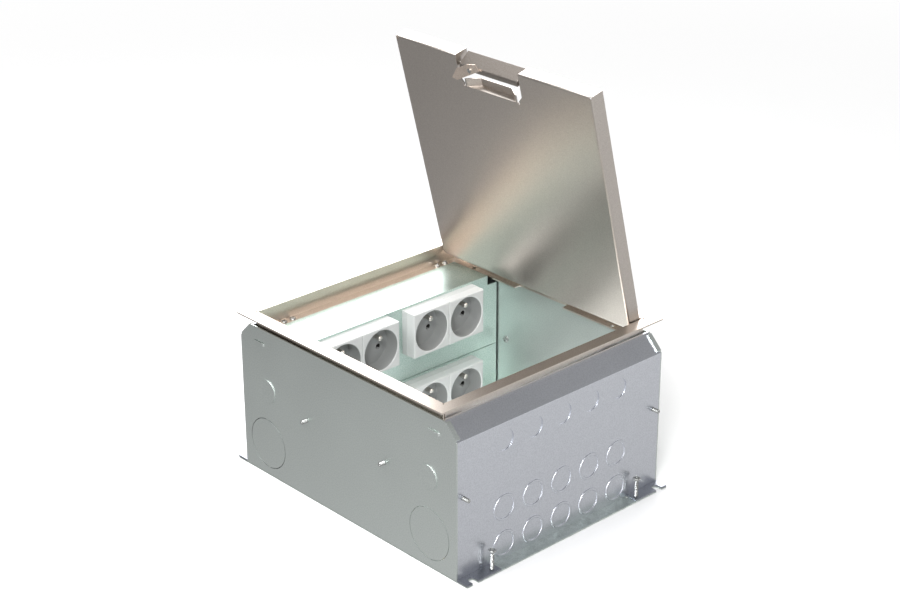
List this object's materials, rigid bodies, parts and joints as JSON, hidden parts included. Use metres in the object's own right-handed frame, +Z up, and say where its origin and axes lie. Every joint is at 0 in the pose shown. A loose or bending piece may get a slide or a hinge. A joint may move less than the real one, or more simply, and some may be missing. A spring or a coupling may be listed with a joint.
{
  "type": "floor socket box",
  "caption": "Galvanised floor box with knockouts, an adjustable stainless frame, a hinged tray lid with a cord flap, and earthed socket blocks on one side.",
  "frame": {"origin": "centre of the base plate's underside", "axes": "+Z up out of the floor, +Y towards the lid's hinge, +X towards the side wall without sockets"},
  "size_m": [0.318, 0.2724, 0.3929],
  "materials": {
    "galvanised": "galvanised",
    "ear_steel": "dull galvanised",
    "stainless": "2B mill finish",
    "plated_screw": "bright zinc plated",
    "socket_plastic": "satin moulded",
    "frame_plastic": "moulded",
    "brass": "turned",
    "nickel": "nickel plated"
  },
  "bodies": {
    "box": {"base_plate": "galvanised", "corner_ears": "ear_steel", "front_wall": "galvanised", "back_wall": "galvanised", "left_wall": "galvanised", "right_wall": "galvanised", "end_wall_screws": "plated_screw", "side_wall_screws": "plated_screw", "corner_brackets": "galvanised", "upper_carrier": "galvanised", "lower_carrier": "galvanised", "socket_screws": "plated_screw", "earth_stud": "brass", "earth_washer": "brass", "earth_nut": "brass", "socket_base_1": "frame_plastic", "socket_face_1": "socket_plastic", "earth_pins_1": "nickel", "line_contacts_1": "brass", "socket_base_2": "frame_plastic", "socket_face_2": "socket_plastic", "earth_pins_2": "nickel", "line_contacts_2": "brass", "socket_base_3": "frame_plastic", "socket_face_3": "socket_plastic", "earth_pins_3": "nickel", "line_contacts_3": "brass", "socket_base_4": "frame_plastic", "socket_face_4": "socket_plastic", "earth_pins_4": "nickel", "line_contacts_4": "brass"},
    "frame": {"lid_frame": "stainless", "height_screws": "plated_screw", "locking_screws": "plated_screw", "hinge_pins": "plated_screw"},
    "lid": {"lid_tray": "stainless", "flap_pins": "plated_screw"},
    "flap": {"cord_flap": "stainless", "catch_rivet": "plated_screw"},
    "catch": {"flap_catch": "stainless"},
    "foot_1": {"levelling_screw_1": "plated_screw"},
    "foot_2": {"levelling_screw_2": "plated_screw"},
    "foot_3": {"levelling_screw_3": "plated_screw"},
    "foot_4": {"levelling_screw_4": "plated_screw"}
  },
  "joints": [
    {"name": "frame_height", "type": "slide", "parent": "box", "child": "frame", "axis": [0, 0, 1], "range_m": [0, 0.02]},
    {"name": "lid_hinge", "type": "hinge", "parent": "frame", "child": "lid", "pos_m": [0, 0.1184, 0.1606], "axis": [-1, 0, 0], "range_deg": [-75.7, 44.3]},
    {"name": "flap_hinge", "type": "hinge", "parent": "lid", "child": "flap", "pos_m": [-0.0034, 0.05464, 0.38119], "axis": [-1, 0, 0], "range_deg": [0, 70]},
    {"name": "catch_pivot", "type": "hinge", "parent": "flap", "child": "catch", "pos_m": [-0.0252, 0.05031, 0.37874], "axis": [0, -0.969, -0.247], "range_deg": [0, 60]},
    {"name": "foot_travel_1", "type": "slide", "parent": "box", "child": "foot_1", "axis": [0, 0, -1], "range_m": [0, 0.017]},
    {"name": "foot_travel_2", "type": "slide", "parent": "box", "child": "foot_2", "axis": [0, 0, -1], "range_m": [0, 0.017]},
    {"name": "foot_travel_3", "type": "slide", "parent": "box", "child": "foot_3", "axis": [0, 0, -1], "range_m": [0, 0.017]},
    {"name": "foot_travel_4", "type": "slide", "parent": "box", "child": "foot_4", "axis": [0, 0, -1], "range_m": [0, 0.017]}
  ]
}
